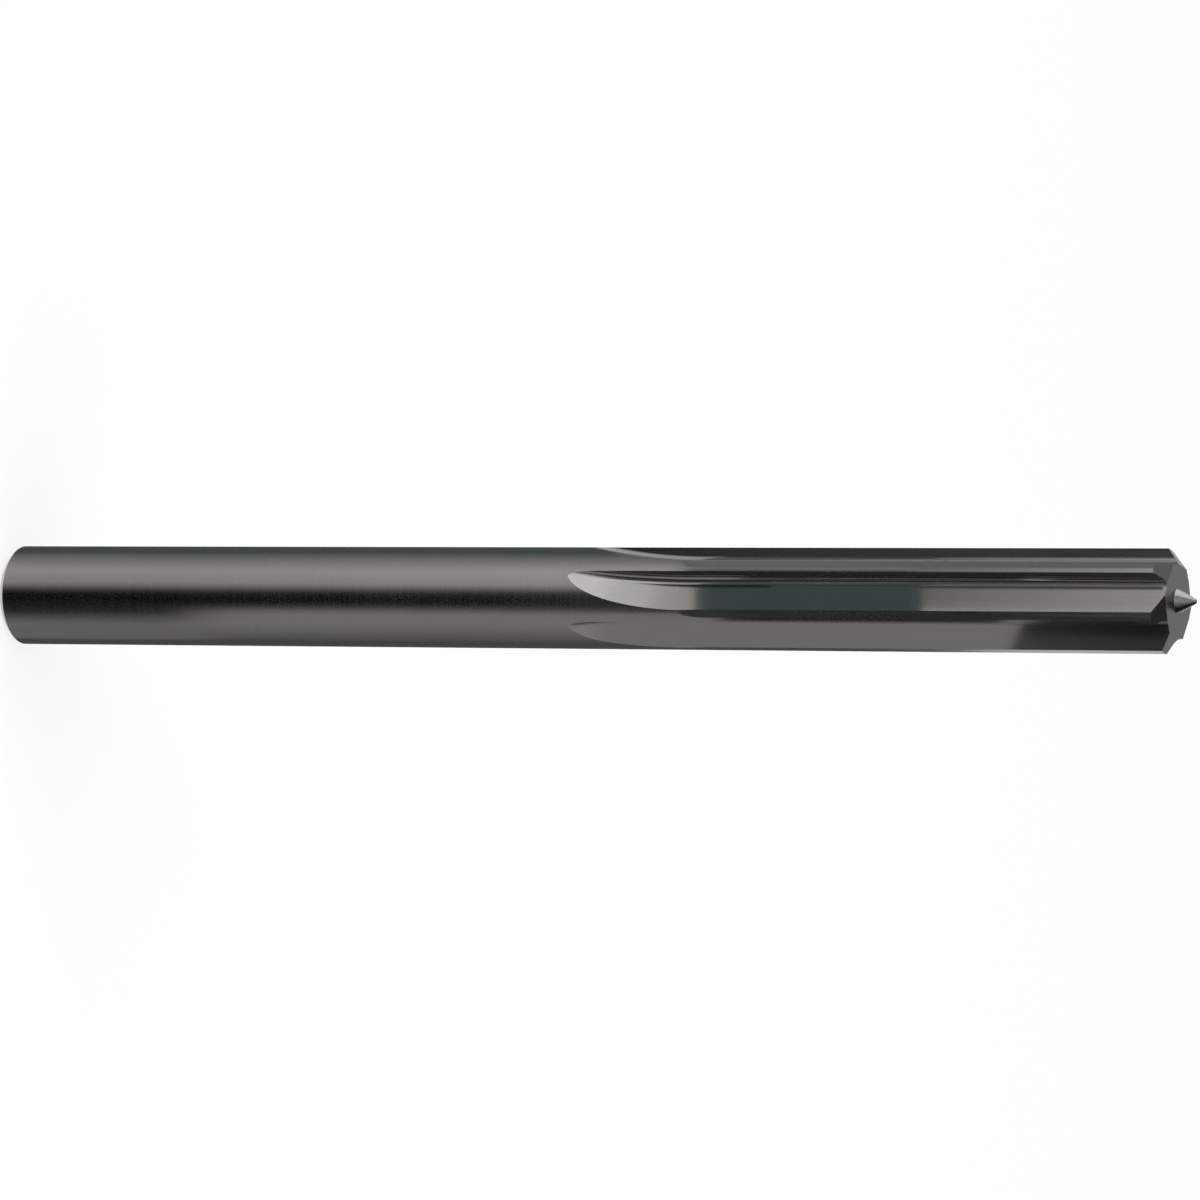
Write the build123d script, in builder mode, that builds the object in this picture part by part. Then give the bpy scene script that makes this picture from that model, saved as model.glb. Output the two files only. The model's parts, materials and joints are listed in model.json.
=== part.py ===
from build123d import *
import math
import os

# A straight-fluted machine reamer, ground from one rod of solid carbide.
# It stands on the end of its shank: Z runs along the tool from the shank's end face to the tip,
# the first cutting edge is on +X, and the teeth cut when the tool turns clockwise seen from the shank.

# Rod, in mm
overall_length = 76.0  # from the shank's end face to the tip of the male centre
shank_diameter = 6.0
shank_end_chamfer = 0.35
cutting_diameter = 6.01  # at the front of the teeth, which taper back to the shank

# Flutes
flute_count = 6
flute_length = 38.0  # from the tip to where the wheel first touches the rod
flute_depth = 0.9
wheel_radius = 35.0  # rim of the grinding wheel, which leaves the run-outs
wheel_corner_radius = 0.4

# Lands, behind each cutting edge
margin_width = 0.3  # round land left at the full diameter
relief_angle = 10.0
relief_length = 31.0  # from the tip to where the wheel first touches the heel

# Lead, on the front of each tooth
lead_angle = 55.0  # from the axis
lead_clearance_angle = 6.0

# Male centre on the end face
centre_angle = 60.0
centre_diameter = 1.5
centre_flat_diameter = 0.25

# Clearance of a grinding cut past the metal it leaves
overrun = 0.3

shank_radius = shank_diameter / 2
cutting_radius = cutting_diameter / 2
root_radius = cutting_radius - flute_depth
centre_radius = centre_diameter / 2
centre_flat_radius = centre_flat_diameter / 2
centre_height = (centre_radius - centre_flat_radius) / math.tan(math.radians(centre_angle / 2))
lead_length = flute_depth / math.tan(math.radians(lead_angle))
end_face_height = overall_length - centre_height
lead_height = end_face_height - lead_length
flute_start = overall_length - flute_length

# The back of each flute is a flat at the root radius, square to the cutting face.
# It runs out to the heel of the next tooth, and what is left between heel and edge is that tooth's land.
flute_half_chord = math.sqrt(cutting_radius**2 - root_radius**2)
heel_angle = math.degrees(math.acos(root_radius / cutting_radius))
land_angle = 360 / flute_count - heel_angle
land_chord = 2 * cutting_radius * math.sin(math.radians(land_angle / 2))
margin_angle = math.degrees(margin_width / cutting_radius)


def run_out(depth):
    """Length along the tool over which the wheel's rim climbs out of a cut of this depth."""
    return math.sqrt(depth * (2 * wheel_radius - depth))


def swing(reach):
    """Angle, about the wheel's axis, over which a section of this reach is swung to clear the rod."""
    return math.degrees(math.acos(1 - reach / wheel_radius))


def wheel_axis(plane):
    """The grinding wheel's axis, when its rim is flush with the plane's y axis."""
    return Axis(plane.origin + plane.x_dir * wheel_radius, -plane.y_dir)


# Flute cut: the wheel's side grinds the radial cutting face and its rim grinds the flat behind it
flute_full_depth_height = flute_start + run_out(shank_radius - root_radius)
flute_plane = Plane((root_radius, 0, flute_full_depth_height))
flute_reach = flute_depth + overrun
with BuildPart() as flute_cut:
    with BuildSketch(flute_plane) as flute_section:
        Rectangle(flute_reach, flute_half_chord + overrun, align=(Align.MIN, Align.MIN))
        root_corner = flute_section.vertices().sort_by(Axis.X)[:2].sort_by(Axis.Y)[0]
        fillet(root_corner, wheel_corner_radius)
    extrude(amount=overall_length - flute_full_depth_height)
    revolve(flute_section.sketch, axis=wheel_axis(flute_plane), revolution_arc=swing(flute_reach))

# Relief cut: a flat that starts at the margin and falls away to the heel
relief_turn = math.radians(margin_angle + relief_angle)
relief_normal = (math.cos(relief_turn), -math.sin(relief_turn), 0)
relief_width = land_chord - margin_width
relief_depth = relief_width * math.tan(math.radians(relief_angle)) - relief_width**2 / cutting_diameter
relief_full_depth_height = overall_length - relief_length + run_out(relief_depth)
margin_line = (
    cutting_radius * math.cos(math.radians(margin_angle)),
    -cutting_radius * math.sin(math.radians(margin_angle)),
    relief_full_depth_height,
)
relief_plane = Plane(margin_line, x_dir=relief_normal, z_dir=(0, 0, 1))
relief_reach = relief_depth + overrun
with BuildPart() as relief_cut:
    with BuildSketch(relief_plane) as relief_section:
        Rectangle(relief_reach, relief_width + overrun, align=(Align.MIN, Align.MAX))
    extrude(amount=overall_length - relief_full_depth_height)
    revolve(relief_section.sketch, axis=wheel_axis(relief_plane), revolution_arc=swing(relief_reach))

# Lead cut: a flat through the front part of the cutting edge, falling away behind it by the clearance.
# It carries on past the heel, across the tooth's back, until it clears the end face.
lead_slope = math.radians(lead_angle)
clearance = math.radians(lead_clearance_angle)
lead_edge = (-math.sin(lead_slope), 0, math.cos(lead_slope))
lead_normal = (
    math.cos(clearance) * math.cos(lead_slope),
    -math.sin(clearance),
    math.cos(clearance) * math.sin(lead_slope),
)
lead_plane = Plane((cutting_radius, 0, lead_height), x_dir=lead_edge, z_dir=lead_normal)
lead_fall = flute_half_chord * math.tan(clearance)
lead_reach = (flute_depth + lead_fall) / math.sin(lead_slope) + overrun
with BuildPart() as lead_cut:
    with BuildSketch(lead_plane):
        with BuildLine():
            Polyline(
                (-lead_fall - overrun, -overrun),
                (lead_reach, -overrun),
                (lead_reach, flute_half_chord),
                (-lead_fall - overrun, flute_half_chord),
                close=True,
            )
        make_face()
    extrude(amount=flute_depth + overrun)

# Reamer: the turned rod with its centre, then each cut repeated around the axis
with BuildPart() as reamer:
    with BuildSketch(Plane.XZ):
        with BuildLine():
            Polyline(
                (0, 0),
                (shank_radius - shank_end_chamfer, 0),
                (shank_radius, shank_end_chamfer),
                (shank_radius, flute_start),
                (cutting_radius, lead_height),
                (cutting_radius, end_face_height),
                (centre_radius, end_face_height),
                (centre_flat_radius, overall_length),
                (0, overall_length),
                close=True,
            )
        make_face()
    revolve(axis=Axis.Z)
    with PolarLocations(0, flute_count):
        add(flute_cut.part, mode=Mode.SUBTRACT)
        add(relief_cut.part, mode=Mode.SUBTRACT)
        add(lead_cut.part, mode=Mode.SUBTRACT)

reamer.part.label = "reamer"
os.makedirs("parts", exist_ok=True)
export_step(reamer.part, "parts/reamer.step")
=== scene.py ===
import json
import logging
import math
from dataclasses import dataclass
from enum import Enum

import bmesh
import bpy
from mathutils import Matrix, Vector


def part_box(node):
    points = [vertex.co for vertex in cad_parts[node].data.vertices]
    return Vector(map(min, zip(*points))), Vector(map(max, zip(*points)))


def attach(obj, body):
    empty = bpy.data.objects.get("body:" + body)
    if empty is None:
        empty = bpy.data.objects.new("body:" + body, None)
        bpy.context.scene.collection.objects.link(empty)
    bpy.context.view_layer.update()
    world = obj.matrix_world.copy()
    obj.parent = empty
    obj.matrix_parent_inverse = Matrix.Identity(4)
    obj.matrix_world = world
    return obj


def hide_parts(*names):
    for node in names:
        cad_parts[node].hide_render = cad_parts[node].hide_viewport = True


# A straight-fluted machine reamer of solid carbide, standing on the end of its shank.
# Tool sizes are in millimetres until the finished mesh is brought to metres; the studio is in metres.

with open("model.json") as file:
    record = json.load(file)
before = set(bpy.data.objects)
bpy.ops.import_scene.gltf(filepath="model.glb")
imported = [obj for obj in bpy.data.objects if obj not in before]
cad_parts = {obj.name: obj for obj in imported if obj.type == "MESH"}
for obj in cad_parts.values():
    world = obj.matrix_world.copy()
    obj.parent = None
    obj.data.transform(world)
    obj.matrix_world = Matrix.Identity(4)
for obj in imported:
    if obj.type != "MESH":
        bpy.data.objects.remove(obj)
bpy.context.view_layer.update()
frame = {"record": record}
log = logging.getLogger("reamer")

MM = 0.001
IMAGE_SIDE = 1200
CAD_NODE = "reamer"
CAD_BODY = "root"
CARD_SHADE = "card_shade"

# Places of a Mix node's colour sockets, whose names it also gives to its other kinds of socket
MIX_FACTOR = 0
MIX_FIRST = 6
MIX_SECOND = 7
MIX_RESULT = 2

Point = tuple[float, float, float]
Colour = tuple[float, float, float, float]


def grey(level: float, red: float = 1.0, blue: float = 1.0) -> Colour:
    """A grey of this linear level, with its red and blue scaled for a tint."""
    return (level * red, level, level * blue, 1.0)


class Value:
    """A number on a node's socket that can be added, taken away, multiplied and divided."""

    def __init__(self, book: "NodeBook", socket: bpy.types.NodeSocket) -> None:
        """Wraps one output socket of a tree."""
        self.book = book
        self.socket = socket

    def _sum(self, operation: str, first: object, second: object) -> "Value":
        """Adds one Math node and wraps its result."""
        node = self.book.node("ShaderNodeMath", {"operation": operation}, {0: first, 1: second})
        return Value(self.book, node.outputs[0])

    def __add__(self, other: object) -> "Value":
        """This value plus another."""
        return self._sum("ADD", self, other)

    __radd__ = __add__

    def __sub__(self, other: object) -> "Value":
        """This value less another."""
        return self._sum("SUBTRACT", self, other)

    def __mul__(self, other: object) -> "Value":
        """This value times another."""
        return self._sum("MULTIPLY", self, other)

    __rmul__ = __mul__

    def __truediv__(self, other: object) -> "Value":
        """This value divided by another."""
        return self._sum("DIVIDE", self, other)

    def clipped(self) -> "Value":
        """This value held between 0 and 1."""
        node = self.book.node("ShaderNodeClamp", {}, {"Value": self})
        return Value(self.book, node.outputs[0])


class NodeBook:
    """Writes the nodes of one shader or geometry tree."""

    def __init__(self, tree: bpy.types.NodeTree) -> None:
        """Takes a tree over and clears its default nodes."""
        self.tree = tree
        tree.nodes.clear()

    def node(self, kind: str, settings: dict | None = None, sockets: dict | None = None) -> bpy.types.Node:
        """Adds one node.

        Args:
            kind: The node's type, such as ShaderNodeMath.
            settings: Properties that are set first.
            sockets: Inputs by name or place, each a plain value, a Value, a socket or a list of sockets.

        Returns:
            The new node.
        """
        node = self.tree.nodes.new(kind)
        for name, value in (settings or {}).items():
            setattr(node, name, value)
        for name, value in (sockets or {}).items():
            several = value if isinstance(value, list) else [value]
            for one in several:
                self._feed(node.inputs[name], one)
        return node

    def value(self, kind: str, settings: dict | None, sockets: dict | None, output: object = 0) -> Value:
        """Adds one node and wraps one of its outputs."""
        return Value(self, self.node(kind, settings, sockets).outputs[output])

    def _feed(self, target: bpy.types.NodeSocket, source: object) -> None:
        """Links a socket to a value's source, or sets it to a plain value.

        Args:
            target: The input socket.
            source: A Value, a socket or a plain value.
        """
        if isinstance(source, Value):
            self.tree.links.new(source.socket, target)
        elif isinstance(source, bpy.types.NodeSocket):
            self.tree.links.new(source, target)
        else:
            target.default_value = source


class Lay(Enum):
    """Where the fine lines of a grinding pass run, as the pattern's scale along X, Y and Z, per metre."""

    AROUND = (180.0, 180.0, 9000.0)
    ALONG = (9000.0, 9000.0, 90.0)
    FACING = (5000.0, 5000.0, 5000.0)


@dataclass(frozen=True)
class GroundCarbide:
    """A ground carbide surface: warm grey metal with the fine lines that its wheel leaves.

    Attributes:
        name: The material's name.
        lay: Where the grinding lines run.
        level: The metal's linear reflectance.
        roughness: The middle roughness.
        spread: How far the lines move the roughness.
        line_depth: The lines' depth in metres, as bump.
        warmth: How far the metal leans from blue to red.
        cloud_scale: The scale of the broad cloud, per metre.
        line_share: How much of the pattern is lines, the rest being cloud.
        dark: How bright the pattern's dark parts are, against the level.
        light: How bright its light parts are, against the level.
    """

    name: str
    lay: Lay
    level: float = 0.50
    roughness: float = 0.20
    spread: float = 0.14
    line_depth: float = 4e-7
    warmth: float = 0.025
    cloud_scale: float = 130.0
    line_share: float = 0.65
    dark: float = 0.90
    light: float = 1.08

    def material(self) -> bpy.types.Material:
        """Builds the material.

        Returns:
            A metal whose colour, roughness and bump follow the grinding lines and a broad cloud.
        """
        material = bpy.data.materials.new(self.name)
        material.use_nodes = True
        book = NodeBook(material.node_tree)
        place = book.node("ShaderNodeTexCoord").outputs["Object"]
        stretched = book.node("ShaderNodeMapping", {}, {"Vector": place, "Scale": self.lay.value})
        lines = book.value(
            "ShaderNodeTexNoise",
            {"noise_dimensions": "3D"},
            {"Vector": stretched.outputs[0], "Scale": 1.0, "Detail": 3.0, "Roughness": 0.6},
        )
        cloud = book.value(
            "ShaderNodeTexNoise",
            {"noise_dimensions": "3D"},
            {"Vector": place, "Scale": self.cloud_scale, "Detail": 2.0, "Roughness": 0.5},
        )
        share = (self.line_share * lines + (1 - self.line_share) * cloud).clipped()
        colour = book.node(
            "ShaderNodeMix",
            {"data_type": "RGBA"},
            {
                MIX_FACTOR: share,
                MIX_FIRST: grey(self.level * self.dark, 1 + self.warmth, 1 - self.warmth),
                MIX_SECOND: grey(self.level * self.light, 1 + self.warmth / 2, 1 - self.warmth / 2),
            },
        )
        bump = book.node(
            "ShaderNodeBump",
            {},
            {"Height": lines, "Strength": 1.0, "Distance": self.line_depth},
        )
        metal = book.node(
            "ShaderNodeBsdfPrincipled",
            {},
            {
                "Base Color": colour.outputs[MIX_RESULT],
                "Metallic": 1.0,
                "Roughness": self.roughness + self.spread * (share - 0.5),
                "Normal": bump.outputs[0],
            },
        )
        book.node("ShaderNodeOutputMaterial", {}, {"Surface": metal.outputs[0]})
        return material


class Surface(Enum):
    """The ground surfaces of the tool, each with its own finish."""

    SHANK = GroundCarbide("ground_shank", Lay.AROUND, level=0.50, roughness=0.21)
    LAND = GroundCarbide("ground_land", Lay.ALONG, level=0.52, roughness=0.18)
    FLUTE = GroundCarbide("ground_flute", Lay.ALONG, level=0.50, roughness=0.14)
    LEAD = GroundCarbide("ground_lead", Lay.FACING, level=0.50, roughness=0.24, line_depth=1e-7)
    END = GroundCarbide("ground_end", Lay.FACING, level=0.46, roughness=0.28)


@dataclass
class WheelPass:
    """One pass of the grinding wheel: a section carried along the tool and swung out on the wheel's rim.

    Attributes:
        section: Points as (distance out of the ground face, distance across it).
        corner: The point of the ground face where both distances are 0, as (x, y).
        outward: The ground face's normal, as (x, y).
        across: The direction across the face, as (x, y).
        full_height: Where the cut reaches its full depth.
        top_height: Where the straight part of the cut ends, beyond the tip.
        wheel_radius: The rim's radius.
        swing: The angle over which the rim leaves the rod, in radians.
        steps: How many sections make the swing.
    """

    section: list[tuple[float, float]]
    corner: tuple[float, float]
    outward: tuple[float, float]
    across: tuple[float, float]
    full_height: float
    top_height: float
    wheel_radius: float
    swing: float
    steps: int = 64

    def _ring(self, turn: float, rise: float) -> list[Vector]:
        """Moves the section by a turn about the wheel's axis, or lifts it straight up.

        Args:
            turn: The angle about the wheel's axis, in radians.
            rise: How far it is lifted.

        Returns:
            The moved section's points.
        """
        ring = []
        for out, side in self.section:
            arm = out - self.wheel_radius
            moved = self.wheel_radius + arm * math.cos(turn)
            ring.append(Vector((
                self.corner[0] + self.outward[0] * moved + self.across[0] * side,
                self.corner[1] + self.outward[1] * moved + self.across[1] * side,
                self.full_height + rise + arm * math.sin(turn),
            )))
        return ring

    def build(self, name: str) -> bpy.types.Object:
        """Builds the closed body that the pass clears.

        Args:
            name: The body's name.

        Returns:
            The body, linked to the scene.
        """
        rings = [self._ring(0.0, self.top_height - self.full_height)]
        for step in range(self.steps + 1):
            rings.append(self._ring(self.swing * step / self.steps, 0.0))
        return lofted(name, rings)


def lofted(name: str, rings: list[list[Vector]]) -> bpy.types.Object:
    """Joins rings of equal length into one closed mesh.

    Args:
        name: The object's name.
        rings: The sections in order, each a closed loop of points.

    Returns:
        An object in the scene, with faces outwards.
    """
    bm = bmesh.new()
    loops = [[bm.verts.new(point) for point in ring] for ring in rings]
    count = len(rings[0])
    for lower, upper in zip(loops, loops[1:]):
        for i in range(count):
            j = (i + 1) % count
            bm.faces.new((lower[i], lower[j], upper[j], upper[i]))
    bm.faces.new(loops[0])
    bm.faces.new(loops[-1])
    bmesh.ops.recalc_face_normals(bm, faces=bm.faces)
    mesh = bpy.data.meshes.new(name)
    bm.to_mesh(mesh)
    bm.free()
    piece = bpy.data.objects.new(name, mesh)
    bpy.context.scene.collection.objects.link(piece)
    return piece


@dataclass
class Reamer:
    """The reamer: a turned rod, then flutes, reliefs and leads ground around it.

    Attributes:
        length: From the shank's end face to the tip of the male centre. All sizes are in millimetres.
        shank_radius: The shank's radius.
        cutting_radius: The radius over the teeth at their front, from which they taper back to the shank.
        shank_chamfer: The chamfer on the shank's end.
        tooth_count: How many teeth and flutes there are.
        flute_length: From the tip to where the wheel first touches the rod.
        flute_depth: The depth of each flute at its root.
        wheel_radius: The rim of the grinding wheel, which leaves the run-outs.
        wheel_corner: The wheel's rounded corner, which leaves the root.
        margin_width: The round land left behind each edge.
        relief_angle: The angle of the relief behind the margin, in degrees.
        relief_length: From the tip to where the wheel first touches the heel.
        lead_angle: The angle of each lead from the axis, in degrees.
        lead_clearance: The angle by which a lead falls away behind its edge, in degrees.
        centre_angle: The full angle of the male centre, in degrees.
        centre_radius: The centre's radius at its foot.
        centre_flat_radius: The radius of its blunt tip.
        overrun: How far a grinding cut goes past the metal that it leaves.
        round_steps: How many sides the turned rod has.
        corner_steps: How many sides the root's round corner has.
        crease_angle: The angle between faces from which an edge is crisp, in degrees.
        end_normal: How far along the axis a face points, from which it is an end face.
        lead_normal: How far along the axis a face points, from which it is a lead or the centre's side.
        wall_depth: How far in from the teeth a face lies, from which it is inside a flute.
        flute_facing: How far outwards a face points, below which it is a flute's wall.
        round_facing: How far outwards a face points, above which it is still round.
    """

    length: float
    shank_radius: float
    cutting_radius: float
    shank_chamfer: float = 0.35
    tooth_count: int = 6
    flute_length: float = 38.0
    flute_depth: float = 0.9
    wheel_radius: float = 35.0
    wheel_corner: float = 0.4
    margin_width: float = 0.3
    relief_angle: float = 10.0
    relief_length: float = 31.0
    lead_angle: float = 55.0
    lead_clearance: float = 6.0
    centre_angle: float = 60.0
    centre_radius: float = 0.75
    centre_flat_radius: float = 0.125
    overrun: float = 0.3
    round_steps: int = 360
    corner_steps: int = 40
    crease_angle: float = 3.5
    end_normal: float = 0.95
    lead_normal: float = 0.4
    wall_depth: float = 0.1
    flute_facing: float = 0.97
    round_facing: float = 0.998

    @classmethod
    def from_frame(cls) -> "Reamer":
        """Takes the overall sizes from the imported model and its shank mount.

        Returns:
            A reamer of those sizes.
        """
        low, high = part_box(CAD_NODE)
        shank = next(m for m in frame["record"]["mounts"] if m["name"] == "shank")
        return cls(
            length=(high.z - low.z) / MM,
            shank_radius=shank["dims"]["r_mm"],
            cutting_radius=(high.x - low.x) / 2 / MM,
        )

    @property
    def root_radius(self) -> float:
        """Distance of each flute's flat from the axis."""
        return self.cutting_radius - self.flute_depth

    @property
    def half_chord(self) -> float:
        """Width of each flute's flat, from the root to the next heel."""
        return math.sqrt(self.cutting_radius**2 - self.root_radius**2)

    @property
    def land_chord(self) -> float:
        """Width of each land, from the cutting edge to the heel.

        Returns:
            The chord across the land.
        """
        heel = math.acos(self.root_radius / self.cutting_radius)
        land = 2 * math.pi / self.tooth_count - heel
        return 2 * self.cutting_radius * math.sin(land / 2)

    @property
    def end_height(self) -> float:
        """Height of the flat end face, at the foot of the male centre."""
        slope = math.tan(math.radians(self.centre_angle / 2))
        return self.length - (self.centre_radius - self.centre_flat_radius) / slope

    @property
    def lead_height(self) -> float:
        """Height at which the cutting edges turn into their leads."""
        return self.end_height - self.flute_depth / math.tan(math.radians(self.lead_angle))

    def run_out(self, depth: float) -> float:
        """Length over which the wheel's rim climbs out of a cut of this depth."""
        return math.sqrt(depth * (2 * self.wheel_radius - depth))

    def swing(self, reach: float) -> float:
        """Angle about the wheel's axis over which a section of this reach clears the rod, in radians."""
        return math.acos(1 - reach / self.wheel_radius)

    def rod(self) -> bpy.types.Object:
        """Turns the rod, with its chamfered shank end, straight body, end face and male centre.

        Returns:
            The rod before any grinding.
        """
        start = self.length - self.flute_length
        taper = (self.cutting_radius - self.shank_radius) / (self.lead_height - start)
        profile = [
            (self.shank_radius - self.shank_chamfer, 0.0),
            (self.shank_radius, self.shank_chamfer),
            (self.shank_radius, start),
            (self.shank_radius + taper * (self.end_height - start), self.end_height),
            (self.centre_radius, self.end_height),
            (self.centre_flat_radius, self.length),
        ]
        turns = [2 * math.pi * (i + 0.5) / self.round_steps for i in range(self.round_steps)]
        rings = [[Vector((r * math.cos(t), r * math.sin(t), z)) for t in turns] for r, z in profile]
        return lofted("turned_rod", rings)

    def flute_cut(self) -> bpy.types.Object:
        """Builds the space of one flute, with the wheel's rounded corner at the root.

        Returns:
            The body that is cut away.
        """
        corner = self.wheel_corner
        reach = self.flute_depth + self.overrun
        width = self.half_chord + self.overrun
        arc = [math.pi + math.pi / 2 * i / self.corner_steps for i in range(self.corner_steps + 1)]
        root = [(corner + corner * math.cos(a), corner + corner * math.sin(a)) for a in arc]
        start = self.length - self.flute_length
        return WheelPass(
            section=[*root, (reach, 0.0), (reach, width), (0.0, width)],
            corner=(self.root_radius, 0.0),
            outward=(1.0, 0.0),
            across=(0.0, 1.0),
            full_height=start + self.run_out(self.shank_radius - self.root_radius),
            top_height=self.length + self.overrun,
            wheel_radius=self.wheel_radius,
            swing=self.swing(reach),
        ).build("flute_cut")

    def relief_cut(self) -> bpy.types.Object:
        """Builds the thin space behind one margin, falling away to the heel.

        Returns:
            The body that is cut away.
        """
        margin = self.margin_width / self.cutting_radius
        turn = margin + math.radians(self.relief_angle)
        width = self.land_chord - self.margin_width
        depth = width * math.tan(math.radians(self.relief_angle)) - width**2 / (2 * self.cutting_radius)
        reach = depth + self.overrun
        side = width + self.overrun
        return WheelPass(
            section=[(0.0, 0.0), (reach, 0.0), (reach, side), (0.0, side)],
            corner=(self.cutting_radius * math.cos(margin), -self.cutting_radius * math.sin(margin)),
            outward=(math.cos(turn), -math.sin(turn)),
            across=(-math.sin(turn), -math.cos(turn)),
            full_height=self.length - self.relief_length + self.run_out(depth),
            top_height=self.length + self.overrun,
            wheel_radius=self.wheel_radius,
            swing=self.swing(reach),
        ).build("relief_cut")

    def lead_cut(self) -> bpy.types.Object:
        """Builds the space in front of one tooth's lead, which falls away behind the edge by the clearance.

        Returns:
            The body that is cut away.
        """
        slope = math.radians(self.lead_angle)
        clearance = math.radians(self.lead_clearance)
        along = Vector((-math.sin(slope), 0.0, math.cos(slope)))
        normal = Vector((
            math.cos(clearance) * math.cos(slope),
            -math.sin(clearance),
            math.cos(clearance) * math.sin(slope),
        ))
        behind = normal.cross(along)
        corner = Vector((self.cutting_radius, 0.0, self.lead_height))
        fall = self.half_chord * math.tan(clearance)
        first = -fall - self.overrun
        last = (self.flute_depth + fall) / math.sin(slope) + self.overrun
        outline = [
            (first, -self.overrun),
            (last, -self.overrun),
            (last, self.half_chord),
            (first, self.half_chord),
        ]
        lower = [corner + along * u + behind * v for u, v in outline]
        upper = [point + normal * (self.flute_depth + self.overrun) for point in lower]
        return lofted("lead_cut", [lower, upper])

    def grinding_tree(self) -> bpy.types.GeometryNodeTree:
        """Builds the geometry tree that takes three kinds of cut out of the rod, repeated around its axis.

        Returns:
            A tree with named inputs for the rod, the number of teeth, the three cuts and the finish.
        """
        tree = bpy.data.node_groups.new("grind_teeth", "GeometryNodeTree")
        face = tree.interface
        face.new_socket("Rod", in_out="INPUT", socket_type="NodeSocketGeometry")
        face.new_socket("Teeth", in_out="INPUT", socket_type="NodeSocketInt")
        for name in ("Flute cut", "Relief cut", "Lead cut"):
            face.new_socket(name, in_out="INPUT", socket_type="NodeSocketObject")
        face.new_socket("Finish", in_out="INPUT", socket_type="NodeSocketMaterial")
        face.new_socket("Tool", in_out="OUTPUT", socket_type="NodeSocketGeometry")
        book = NodeBook(tree)
        given = book.node("NodeGroupInput").outputs
        index = book.value("GeometryNodeInputIndex", None, None)
        turn = index * (2 * math.pi) / Value(book, given["Teeth"])
        turned = book.node("ShaderNodeCombineXYZ", {}, {"Z": turn}).outputs[0]
        points = book.node("GeometryNodePoints", {}, {"Count": given["Teeth"]}).outputs[0]
        tool = given["Rod"]
        for name in ("Flute cut", "Relief cut", "Lead cut"):
            cut = book.node("GeometryNodeObjectInfo", {}, {"Object": given[name]}).outputs["Geometry"]
            around = book.node(
                "GeometryNodeInstanceOnPoints",
                {},
                {"Points": points, "Instance": cut, "Rotation": turned},
            )
            tool = book.node(
                "GeometryNodeMeshBoolean",
                {"operation": "DIFFERENCE", "solver": "EXACT"},
                {"Mesh 1": tool, "Mesh 2": around.outputs[0]},
            ).outputs[0]
        whole = book.node("GeometryNodeRealizeInstances", {}, {"Geometry": tool}).outputs[0]
        dressed = book.node("GeometryNodeSetMaterial", {}, {"Geometry": whole, "Material": given["Finish"]})
        book.node("NodeGroupOutput", {}, {"Tool": dressed.outputs[0]})
        return tree

    def build(self) -> bpy.types.Object:
        """Grinds the rod and brings the finished tool to metres.

        Returns:
            The tool as a plain mesh at the origin.
        """
        blank = self.rod()
        cuts = {
            "Flute cut": self.flute_cut(),
            "Relief cut": self.relief_cut(),
            "Lead cut": self.lead_cut(),
        }
        finishes = [surface.value.material() for surface in Surface]
        tree = self.grinding_tree()
        modifier = blank.modifiers.new("grind_teeth", "NODES")
        modifier.node_group = tree
        inputs = {"Teeth": self.tooth_count, "Finish": finishes[0], **cuts}
        for item in tree.interface.items_tree:
            if item.in_out == "INPUT" and item.name in inputs:
                modifier[item.identifier] = inputs[item.name]
        mesh = self._evaluated(blank)
        for spare in (blank, *cuts.values()):
            bpy.data.objects.remove(spare)
        mesh.name = "ground_reamer"
        tool = bpy.data.objects.new("ground_reamer", mesh)
        bpy.context.scene.collection.objects.link(tool)
        self._dress(mesh, finishes)
        mesh.transform(Matrix.Scale(MM, 4))
        return tool

    @staticmethod
    def _evaluated(piece: bpy.types.Object) -> bpy.types.Mesh:
        """Applies a piece's modifiers and takes them off it.

        Args:
            piece: The object with the modifiers.

        Returns:
            A new mesh, as the modifiers leave it.
        """
        graph = bpy.context.evaluated_depsgraph_get()
        mesh = bpy.data.meshes.new_from_object(piece.evaluated_get(graph))
        piece.modifiers.clear()
        return mesh

    def _surface_of(self, middle: Vector, normal: Vector) -> Surface:
        """Tells which ground surface a face belongs to.

        Args:
            middle: The face's middle, in millimetres.
            normal: The face's normal.

        Returns:
            The surface whose finish the face gets.
        """
        radius = math.hypot(middle.x, middle.y)
        facing = (normal.x * middle.x + normal.y * middle.y) / max(radius, 1e-6)
        if abs(normal.z) > self.end_normal:
            return Surface.END
        if normal.z > self.lead_normal:
            return Surface.LEAD
        if radius < self.cutting_radius - self.wall_depth or facing < self.flute_facing:
            return Surface.FLUTE
        return Surface.SHANK if facing > self.round_facing else Surface.LAND

    def _dress(self, mesh: bpy.types.Mesh, finishes: list[bpy.types.Material]) -> None:
        """Gives each face its surface's finish, and keeps creases crisp between ground surfaces.

        Args:
            mesh: The ground tool, in millimetres.
            finishes: One material for each surface, in the order of Surface.
        """
        mesh.materials.clear()
        for finish in finishes:
            mesh.materials.append(finish)
        order = list(Surface)
        for polygon in mesh.polygons:
            polygon.use_smooth = True
            polygon.material_index = order.index(self._surface_of(polygon.center, polygon.normal))
        mesh.set_sharp_from_angle(angle=math.radians(self.crease_angle))


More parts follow.
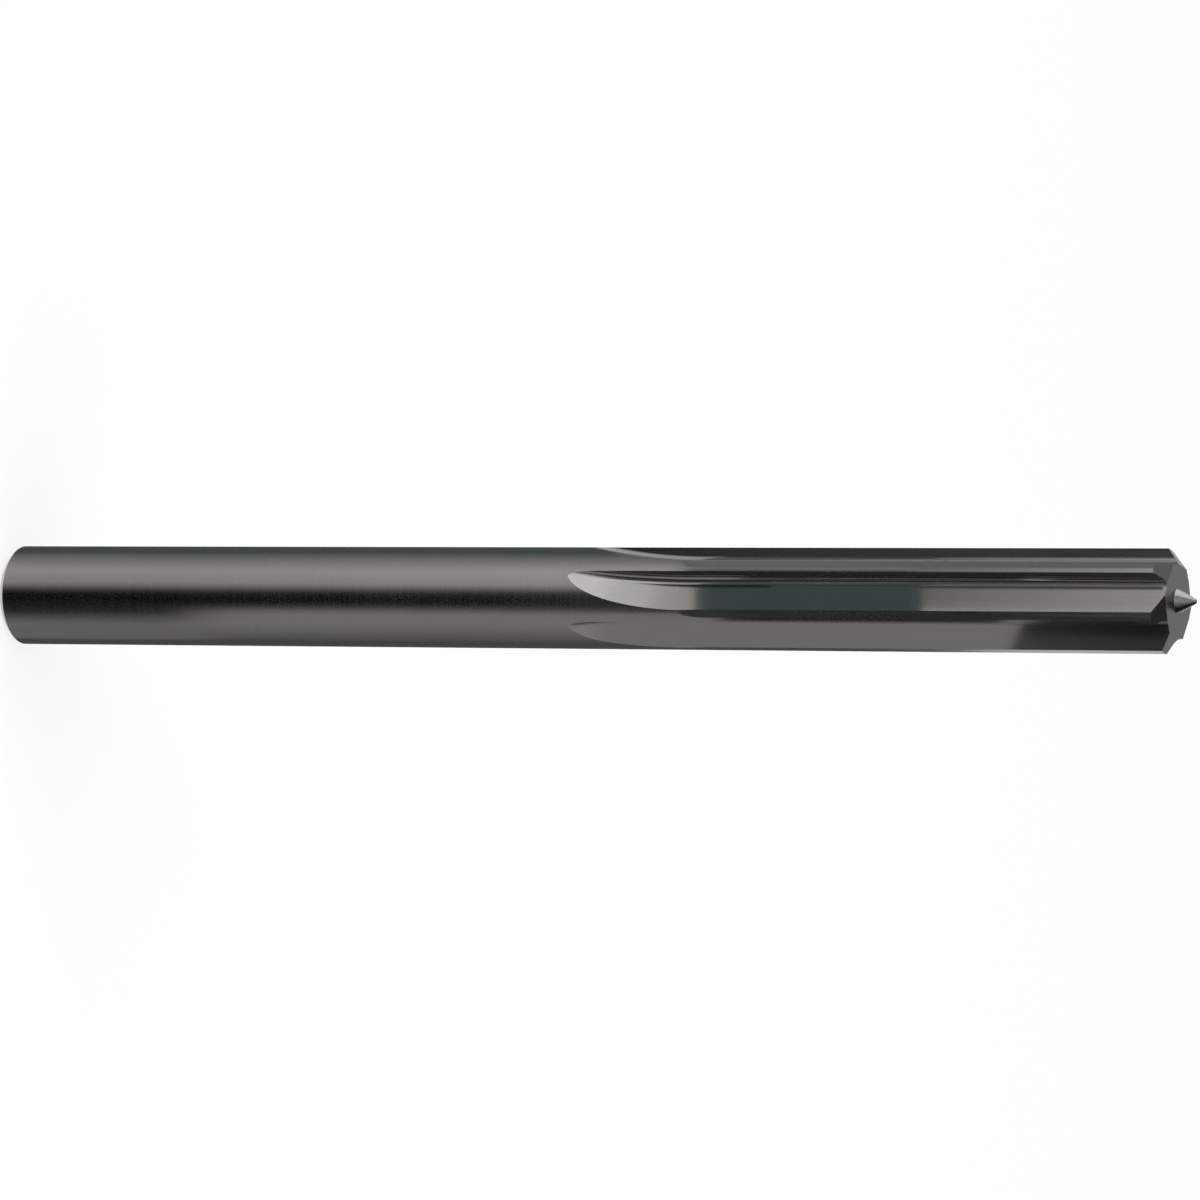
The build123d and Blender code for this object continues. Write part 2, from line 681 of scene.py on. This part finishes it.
@dataclass
class PhotoCamera:
    """The camera at the photograph's viewing angle, with the tool's tip to the right.

    Attributes:
        azimuth: Where the camera stands round the tool, in degrees from -Y towards +X.
        elevation: How far it looks down, in degrees.
        roll: How far the tool leans in the picture, in degrees.
        distance: From the camera to the tool's axis, in metres.
        focal_pixels: The focal length, in pixels of the image.
        target_height: The height on the axis at which it aims.
        drop: How far the camera is lowered in the picture, in metres.
        sensor: The sensor's width, in millimetres.
        clip_start: The nearest distance that it sees, in metres.
    """

    azimuth: float = 2.39
    elevation: float = 24.22
    roll: float = 1.30
    distance: float = 0.3837
    focal_pixels: float = 6508.0
    target_height: float = 0.03897
    drop: float = 0.000107
    sensor: float = 36.0
    clip_start: float = 0.01

    def build(self) -> bpy.types.Object:
        """Makes the scene's camera.

        Returns:
            The camera, linked to the scene.
        """
        around, above, lean = (math.radians(a) for a in (self.azimuth, self.elevation, self.roll))
        back = Vector((
            math.sin(around) * math.cos(above),
            -math.cos(around) * math.cos(above),
            math.sin(above),
        ))
        level_right = (-back).cross(Vector((-1.0, 0.0, 0.0))).normalized()
        level_up = level_right.cross(-back)
        right = math.cos(lean) * level_right + math.sin(lean) * level_up
        up = -math.sin(lean) * level_right + math.cos(lean) * level_up
        data = bpy.data.cameras.new("photo_camera")
        data.sensor_width = self.sensor
        data.lens = self.focal_pixels / IMAGE_SIDE * self.sensor
        data.clip_start = self.clip_start
        camera = bpy.data.objects.new("photo_camera", data)
        eye = Vector((0.0, 0.0, self.target_height)) + back * self.distance - up * self.drop
        turned = Matrix((right, up, back)).transposed().to_4x4()
        camera.matrix_world = Matrix.Translation(eye) @ turned
        bpy.context.scene.collection.objects.link(camera)
        bpy.context.scene.camera = camera
        return camera


def blend(first: Colour, last: Colour, share: float, gain: float = 1.0) -> Colour:
    """The colour this share of the way from the first to the last, made brighter by the gain."""
    red, green, blue = (gain * (a + (b - a) * share) for a, b in zip(first[:3], last[:3]))
    return (red, green, blue, 1.0)


def lay_card(name: str, corners: list[Point], faces: list[tuple[int, ...]], colours: list[Colour]) -> None:
    """Sets up one plain studio card that only the metal shows.

    Args:
        name: The card's name.
        corners: Its points, in metres.
        faces: Its faces, as places in the list of corners.
        colours: How bright it is at each corner, where 1 is white.
    """
    mesh = bpy.data.meshes.new(name)
    mesh.from_pydata(corners, [], faces)
    shades = mesh.color_attributes.new(CARD_SHADE, "FLOAT_COLOR", "POINT")
    for place, colour in zip(shades.data, colours):
        place.color = colour
    material = bpy.data.materials.new(name)
    material.use_nodes = True
    material.cycles.emission_sampling = "NONE"
    book = NodeBook(material.node_tree)
    shade = book.node("ShaderNodeAttribute", {"attribute_name": CARD_SHADE}).outputs["Color"]
    glow = book.node("ShaderNodeEmission", {}, {"Color": shade, "Strength": 1.0})
    book.node("ShaderNodeOutputMaterial", {}, {"Surface": glow.outputs[0]})
    mesh.materials.append(material)
    card = bpy.data.objects.new(name, mesh)
    bpy.context.scene.collection.objects.link(card)
    for ray in ("camera", "diffuse", "transmission", "volume_scatter", "shadow"):
        setattr(card, f"visible_{ray}", False)


@dataclass(frozen=True)
class FloorCard:
    """A card lying round the tool's foot, cut so that its sides show as straight lines along the shank.

    Attributes:
        name: The card's name.
        span: Its bearing from the camera, in degrees, from and to, positive towards the picture's top.
        colour: How bright it is at the first bearing, where 1 is white.
        reach: Its nearest and farthest distance from the tool's wall, in metres.
        fade: How bright it is at the last bearing, where that differs.
        far_gain: How much brighter it is at its far edge.
        height: How high it lies above the floor.
        steps: How many strips it is made of.
        wall: The radius of the tool's wall, in metres.
    """

    name: str
    span: tuple[float, float]
    colour: Colour
    reach: tuple[float, float]
    fade: Colour | None = None
    far_gain: float = 1.0
    height: float = 0.0001
    steps: int = 24
    wall: float = 0.003

    def _place(self, bearing: float, turn: float, reach: float) -> Point:
        """Finds where the tool's round wall throws the camera's view.

        Args:
            bearing: The camera's azimuth, in degrees.
            turn: The bearing of the thrown view from the camera, in degrees.
            reach: How far on from the wall the point lies, in metres.

        Returns:
            The point, at the card's height.
        """
        foot = math.radians(bearing - turn / 2)
        way = math.radians(bearing - turn)
        return (
            self.wall * math.sin(foot) + reach * math.sin(way),
            -self.wall * math.cos(foot) - reach * math.cos(way),
            self.height,
        )

    def build(self, bearing: float) -> None:
        """Lays the card.

        Args:
            bearing: The camera's azimuth, in degrees.
        """
        corners = []
        colours = []
        for step in range(self.steps + 1):
            share = step / self.steps
            turn = self.span[0] + (self.span[1] - self.span[0]) * share
            for reach, gain in zip(self.reach, (1.0, self.far_gain)):
                corners.append(self._place(bearing, turn, reach))
                colours.append(blend(self.colour, self.fade or self.colour, share, gain))
        strips = [(2 * i, 2 * i + 1, 2 * i + 3, 2 * i + 2) for i in range(self.steps)]
        lay_card(self.name, corners, strips, colours)


@dataclass(frozen=True)
class Panel:
    """An upright card that faces the tool.

    Attributes:
        name: The panel's name.
        stand: Its bearing from the camera, in degrees, positive towards the picture's top, and its distance
            from the tool's axis, in metres.
        sides: Where it starts and ends across its bearing, in metres, positive towards the picture's top.
        low: The height of its foot at its first side.
        high: The height of its top.
        colour: How bright it is at its foot, where 1 is white.
        fade: How bright it is at its top, where that differs.
        lean: How much higher its foot is at its last side.
    """

    name: str
    stand: tuple[float, float]
    sides: tuple[float, float]
    low: float
    high: float
    colour: Colour
    fade: Colour | None = None
    lean: float = 0.0

    def build(self, bearing: float) -> None:
        """Stands the panel on its bearing.

        Args:
            bearing: The camera's azimuth, in degrees.
        """
        facing, distance = self.stand
        way = math.radians(bearing - facing)
        corners = []
        for side, low in zip(self.sides, (self.low, self.low + self.lean)):
            x = distance * math.sin(way) - side * math.cos(way)
            y = -distance * math.cos(way) - side * math.sin(way)
            corners += [(x, y, low), (x, y, self.high)]
        colours = [self.colour, self.fade or self.colour] * 2
        lay_card(self.name, corners, [(0, 2, 3, 1)], colours)


# Rings of floor that cards lie in: their nearest and farthest distance from the tool's wall, in metres
FOOT = (0.0003, 0.026)
NEAR = (0.0003, 0.098)
UPPER = (0.0003, 0.140)
WHOLE = (0.0003, 0.480)
BEYOND_NEAR = (0.098, 0.330)
BEYOND_UPPER = (0.140, 0.330)

# Heights at which a card lies over or under the others
ON_TOP = 0.0002
UNDERNEATH = 0.00005

# Where the blinds stand, as bearing and distance: by the upper flute, by the lower one, and in front
UPPER_FLUTE = (64.7, 0.0093)
LOWER_FLUTE = (-55.3, 0.0103)
IN_FRONT = (0.0, 0.0080)

# Heights on the blinds at which the upper flute turns to slate and back, and their top
SLATE_START = 0.0426
SLATE_END = 0.0571
BLIND_TOP = 0.0726

# Tones of the upper flute towards its tip, and of its root there
WARM_MID = grey(0.22, 1.03, 0.96)
WARM_PALE = grey(0.48, 1.03, 0.96)
ROOT_MID = grey(0.15)
ROOT_PALE = grey(0.22)


@dataclass
class Studio:
    """A white table in soft light, with cards round the tool for its metal to show.

    Attributes:
        bearing: The camera's azimuth, in degrees.
        floor_half: Half the floor's width, in metres.
        floor_level: The floor's own linear reflectance.
        shadow_share: How much of the floor's look is left to light and shadow.
        lamps: The soft lamps, each with its name, place, width in metres and power in watts.
        aim_height: The height on the tool's axis at which the lamps aim.
        world_level: How bright the sky is as a light, where 1 is white.
        floor_cards: The cards on the floor, which the round shank and the walls show.
        blinds: Small upright cards close to the flutes, whose edges show as sharp changes of tone.
        panels: Wide upright cards at a distance.
        canopies: Cards overhead, each with its left side, right side and brightness.
        canopy_half: Half the canopies' length, in metres.
        canopy_height: The canopies' height, in metres.
    """

    bearing: float
    floor_half: float = 3.0
    floor_level: float = 0.86
    shadow_share: float = 0.25
    lamps: tuple[tuple[str, Point, float, float], ...] = (
        ("key_lamp", (-0.30, -0.25, 0.55), 0.45, 1.2),
        ("fill_lamp", (0.40, -0.10, 0.50), 0.40, 0.6),
    )
    aim_height: float = 0.04
    world_level: float = 0.90
    floor_cards: tuple[FloorCard, ...] = (
        FloorCard("foot_black", (-38.0, -8.0), grey(0.03), FOOT, grey(0.004), height=ON_TOP),
        FloorCard("foot_mid", (-70.0, -38.0), grey(0.225), FOOT, grey(0.03), height=ON_TOP),
        FloorCard("foot_low", (-124.0, -70.0), grey(0.20), FOOT, grey(0.225), height=ON_TOP),
        FloorCard("near_black", (-16.0, 5.0), grey(0.004), NEAR),
        FloorCard("near_fall", (-27.0, -16.0), grey(0.10), NEAR, grey(0.004)),
        FloorCard("near_mid_start", (-38.0, -27.0), grey(0.28), NEAR, grey(0.10)),
        FloorCard("near_mid", (-68.0, -38.0), grey(0.285, 1.02, 0.97), NEAR),
        FloorCard("near_rise", (5.0, 14.0), grey(0.004), NEAR, grey(0.06)),
        FloorCard("light_start", (14.0, 30.0), grey(0.07), UPPER, grey(0.37, 1.03, 0.97), 1.45),
        FloorCard("light", (30.0, 62.0), grey(0.37, 1.03, 0.97), UPPER, grey(0.46, 1.03, 0.97), 1.25),
        FloorCard("light_end", (62.0, 82.0), grey(0.46, 1.03, 0.97), UPPER, grey(0.35, 1.02, 0.98), 1.15),
        FloorCard("slate_start", (82.0, 122.0), grey(0.35, 1.02, 0.98), UPPER, grey(0.10, 0.82)),
        FloorCard("slate", (122.0, 180.0), grey(0.10, 0.82), UPPER),
        FloorCard("far_black", (-10.0, 14.0), grey(0.055, 0.85), BEYOND_NEAR),
        FloorCard("far_black_side", (-34.0, -10.0), grey(0.035), (0.098, 0.150)),
        FloorCard("far_black_end", (-34.0, -10.0), grey(0.012), (0.150, 0.330)),
        FloorCard("far_mid", (-68.0, -34.0), grey(0.28, 1.02, 0.97), (0.098, 0.480)),
        FloorCard("far_rise", (14.0, 22.0), grey(0.12), BEYOND_UPPER),
        FloorCard("far_light", (22.0, 84.0), grey(0.76, 1.01, 0.99), (0.140, 0.260)),
        FloorCard("far_slate_start", (84.0, 110.0), grey(0.18, 0.96), BEYOND_UPPER),
        FloorCard("far_slate", (110.0, 180.0), grey(0.13, 0.82), BEYOND_UPPER),
        FloorCard("mid_end", (-96.0, -68.0), grey(0.19), WHOLE, grey(0.28, 1.02, 0.97)),
        FloorCard("low_start", (-124.0, -96.0), grey(0.11), WHOLE, grey(0.19)),
        FloorCard("low", (-180.0, -124.0), grey(0.09), (0.0003, 0.165)),
        FloorCard("heel", (-180.0, -124.0), grey(0.65), (0.165, 0.330)),
        FloorCard("back", (180.0, 260.0), grey(0.10, 0.92), (0.0003, 0.330), height=UNDERNEATH),
    )
    blinds: tuple[Panel, ...] = (
        Panel("blind_flute", UPPER_FLUTE, (-0.0085, -0.0010), SLATE_START, SLATE_END, grey(0.10, 0.74)),
        Panel("blind_margin", UPPER_FLUTE, (-0.0010, 0.0001), SLATE_START, SLATE_END, grey(0.34)),
        Panel("blind_heel", UPPER_FLUTE, (0.0001, 0.0025), 0.0425, BLIND_TOP, grey(0.07), grey(0.32)),
        Panel("blind_flute_tip", UPPER_FLUTE, (-0.00283, 0.0001), SLATE_END, BLIND_TOP, WARM_MID, WARM_PALE),
        Panel("blind_root_tip", UPPER_FLUTE, (-0.0085, -0.0031), SLATE_END, BLIND_TOP, ROOT_MID, ROOT_PALE),
        Panel("blind_fold", IN_FRONT, (0.00130, 0.00185), 0.0480, 0.0800, grey(0.25)),
        Panel("blind_root", LOWER_FLUTE, (0.0020, 0.0052), 0.0445, 0.0625, grey(0.01)),
        Panel(
            "blind_tip_low", LOWER_FLUTE, (-0.0038, -0.0001), 0.0610, BLIND_TOP,
            grey(0.085), grey(0.045), lean=0.0017,
        ),
        Panel(
            "blind_tip_high", LOWER_FLUTE, (-0.0001, 0.0042), 0.0627, BLIND_TOP,
            grey(0.035), grey(0.008), lean=0.0021,
        ),
    )
    panels: tuple[Panel, ...] = (
        Panel("panel_back", (180.0, 0.5), (-0.5, 0.5), 0.02, 0.6, grey(0.27, 0.95)),
        Panel("panel_bright", (90.0, 0.5), (-0.4, 0.4), 0.02, 0.4, grey(1.0)),
        Panel("panel_mid", (-65.0, 0.5), (-0.3, 0.3), 0.0, 0.12, grey(0.33)),
        Panel("panel_low", (-115.0, 0.5), (-0.25, 0.25), 0.0, 0.12, grey(0.30)),
        Panel("panel_dark", (-90.0, 0.5), (-0.4, 0.4), 0.12, 0.7, grey(0.01)),
    )
    canopies: tuple[tuple[float, float, float], ...] = ((-0.8, 0.0, 0.17), (0.0, 0.8, 0.03))
    canopy_half: float = 0.8
    canopy_height: float = 0.7

    def build(self) -> None:
        """Makes the floor, the cards, the lamps and the world."""
        self._floor()
        for card in (*self.floor_cards, *self.blinds, *self.panels):
            card.build(self.bearing)
        for number, (left, right, level) in enumerate(self.canopies):
            back, top = self.canopy_half, self.canopy_height
            corners = [(left, -back, top), (right, -back, top), (right, back, top), (left, back, top)]
            lay_card(f"canopy_{number}", corners, [(0, 1, 2, 3)], [grey(level)] * 4)
        for name, place, side, power in self.lamps:
            self._lamp(name, place, side, power)
        self._world()
        bpy.context.scene.view_settings.view_transform = "Standard"

    @staticmethod
    def _seen_directly(book: NodeBook) -> Value:
        """Tells what is seen from what only lights other things.

        Args:
            book: The tree that the nodes go into.

        Returns:
            1 for what is seen straight, in metal or through glass, and 0 otherwise.
        """
        path = book.node("ShaderNodeLightPath").outputs
        ways = ("Is Camera Ray", "Is Glossy Ray", "Is Transmission Ray")
        camera, glossy, through = (Value(book, path[way]) for way in ways)
        return (camera + glossy + through).clipped()

    def _floor(self) -> None:
        """Lays the white floor, which keeps the tool's shadow."""
        half = self.floor_half
        corners = [(-half, -half, 0.0), (half, -half, 0.0), (half, half, 0.0), (-half, half, 0.0)]
        mesh = bpy.data.meshes.new("studio_floor")
        mesh.from_pydata(corners, [], [(0, 1, 2, 3)])
        material = bpy.data.materials.new("studio_floor")
        material.use_nodes = True
        book = NodeBook(material.node_tree)
        paint = book.node("ShaderNodeBsdfDiffuse", {}, {"Color": grey(self.floor_level)})
        white = book.node("ShaderNodeEmission", {}, {"Color": grey(1.0), "Strength": 1.0})
        share = self._seen_directly(book) * (1 - self.shadow_share)
        both = book.node("ShaderNodeMixShader", {}, {0: share, 1: paint.outputs[0], 2: white.outputs[0]})
        book.node("ShaderNodeOutputMaterial", {}, {"Surface": both.outputs[0]})
        mesh.materials.append(material)
        floor = bpy.data.objects.new("studio_floor", mesh)
        bpy.context.scene.collection.objects.link(floor)

    def _lamp(self, name: str, place: Point, side: float, power: float) -> None:
        """Hangs a square soft lamp, aimed at the middle of the tool.

        Args:
            name: The lamp's name.
            place: Where it hangs, in metres.
            side: Its width, in metres.
            power: Its power, in watts.
        """
        data = bpy.data.lights.new(name, "AREA")
        data.size = side
        data.energy = power
        lamp = bpy.data.objects.new(name, data)
        lamp.visible_glossy = False
        lamp.location = place
        aim = Vector((0.0, 0.0, self.aim_height)) - Vector(place)
        lamp.rotation_euler = aim.to_track_quat("-Z", "Y").to_euler()
        bpy.context.scene.collection.objects.link(lamp)

    def _world(self) -> None:
        """Sets an even, soft sky that is white where it is seen."""
        world = bpy.data.worlds.new("studio_sky")
        world.use_nodes = True
        book = NodeBook(world.node_tree)
        seen = self._seen_directly(book)
        level = self.world_level + (1 - self.world_level) * seen
        sky = book.node("ShaderNodeBackground", {}, {"Color": grey(1.0), "Strength": level})
        book.node("ShaderNodeOutputWorld", {}, {"Surface": sky.outputs[0]})
        bpy.context.scene.world = world


def main() -> None:
    """Builds the reamer, its studio and its camera, and reports the tool's face count."""
    logging.basicConfig(level=logging.INFO, format="%(message)s")
    reamer = Reamer.from_frame()
    tool = reamer.build()
    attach(tool, CAD_BODY)
    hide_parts(CAD_NODE)
    log.info("%s: %d faces", tool.name, len(tool.data.polygons))
    camera = PhotoCamera()
    camera.build()
    Studio(bearing=camera.azimuth).build()


if __name__ == "__main__":
    main()
